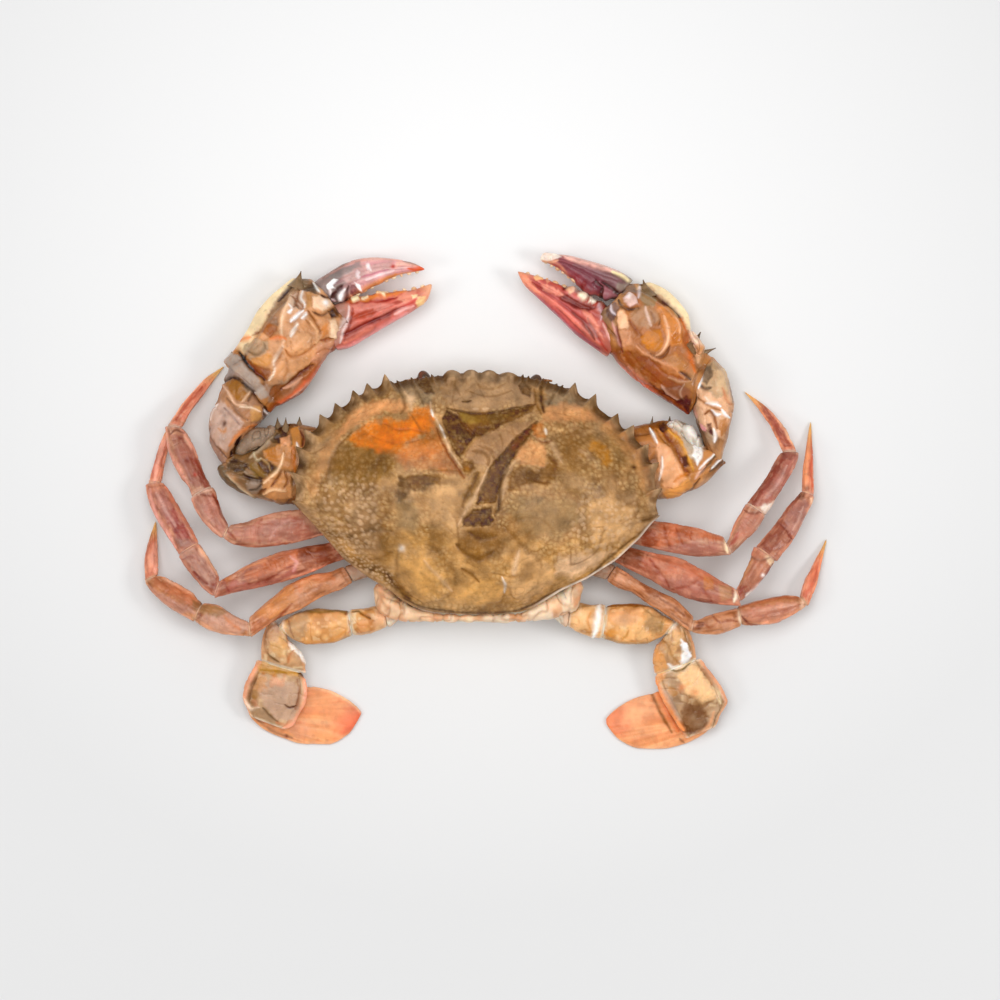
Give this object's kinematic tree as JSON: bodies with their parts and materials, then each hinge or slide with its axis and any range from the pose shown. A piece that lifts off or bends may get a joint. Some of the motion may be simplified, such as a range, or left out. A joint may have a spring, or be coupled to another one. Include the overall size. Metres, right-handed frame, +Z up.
{
  "type": "soft-shell crab",
  "caption": "Freshly moulted mud crab laid flat as a life-size still model, claws raised forward and bent inwards, legs swept out, swimming paddles turned in",
  "frame": {"origin": "on the floor plane, in the middle of the flat belly face under the carapace", "axes": "+X to the animal's right-hand side of the picture, +Y forward along the claws, +Z up"},
  "size_m": [0.184, 0.1337, 0.0346],
  "materials": {
    "shell": "wet glossy olive-brown, tan and orange mottling",
    "belly": "damp cream skin",
    "leg": "glossy red-brown, translucent orange edges",
    "claw": "wet glossy brown-orange, wrinkled",
    "finger": "glossy pink-red, purple-grey at the base, cream teeth",
    "swim": "glossy orange-tan, speckled",
    "paddle": "thin translucent salmon-orange",
    "eye": "black, wet"
  },
  "bodies": {
    "root": {"carapace": "shell", "underbody": "belly", "abdomen": "belly", "mouth_cover_l": "belly", "eyestalk_l": "claw", "eye_l": "eye", "antenna_l": "claw", "antennule_l": "claw", "claw_merus_l": "claw", "claw_carpus_l": "claw", "claw_palm_l": "claw", "claw_finger_l": "finger", "leg_1_merus_l": "leg", "leg_1_carpus_l": "leg", "leg_1_propodus_l": "leg", "leg_1_dactyl_l": "leg", "leg_2_merus_l": "leg", "leg_2_carpus_l": "leg", "leg_2_propodus_l": "leg", "leg_2_dactyl_l": "leg", "leg_3_merus_l": "leg", "leg_3_carpus_l": "leg", "leg_3_propodus_l": "leg", "leg_3_dactyl_l": "leg", "swim_base_l": "belly", "swim_merus_l": "swim", "swim_carpus_l": "swim", "swim_propodus_l": "swim", "swim_paddle_l": "paddle", "mouth_cover_r": "belly", "eyestalk_r": "claw", "eye_r": "eye", "antenna_r": "claw", "antennule_r": "claw", "claw_merus_r": "claw", "claw_carpus_r": "claw", "claw_palm_r": "claw", "claw_finger_r": "finger", "leg_1_merus_r": "leg", "leg_1_carpus_r": "leg", "leg_1_propodus_r": "leg", "leg_1_dactyl_r": "leg", "leg_2_merus_r": "leg", "leg_2_carpus_r": "leg", "leg_2_propodus_r": "leg", "leg_2_dactyl_r": "leg", "leg_3_merus_r": "leg", "leg_3_carpus_r": "leg", "leg_3_propodus_r": "leg", "leg_3_dactyl_r": "leg", "swim_base_r": "belly", "swim_merus_r": "swim", "swim_carpus_r": "swim", "swim_propodus_r": "swim", "swim_paddle_r": "paddle"}
  },
  "joints": []
}
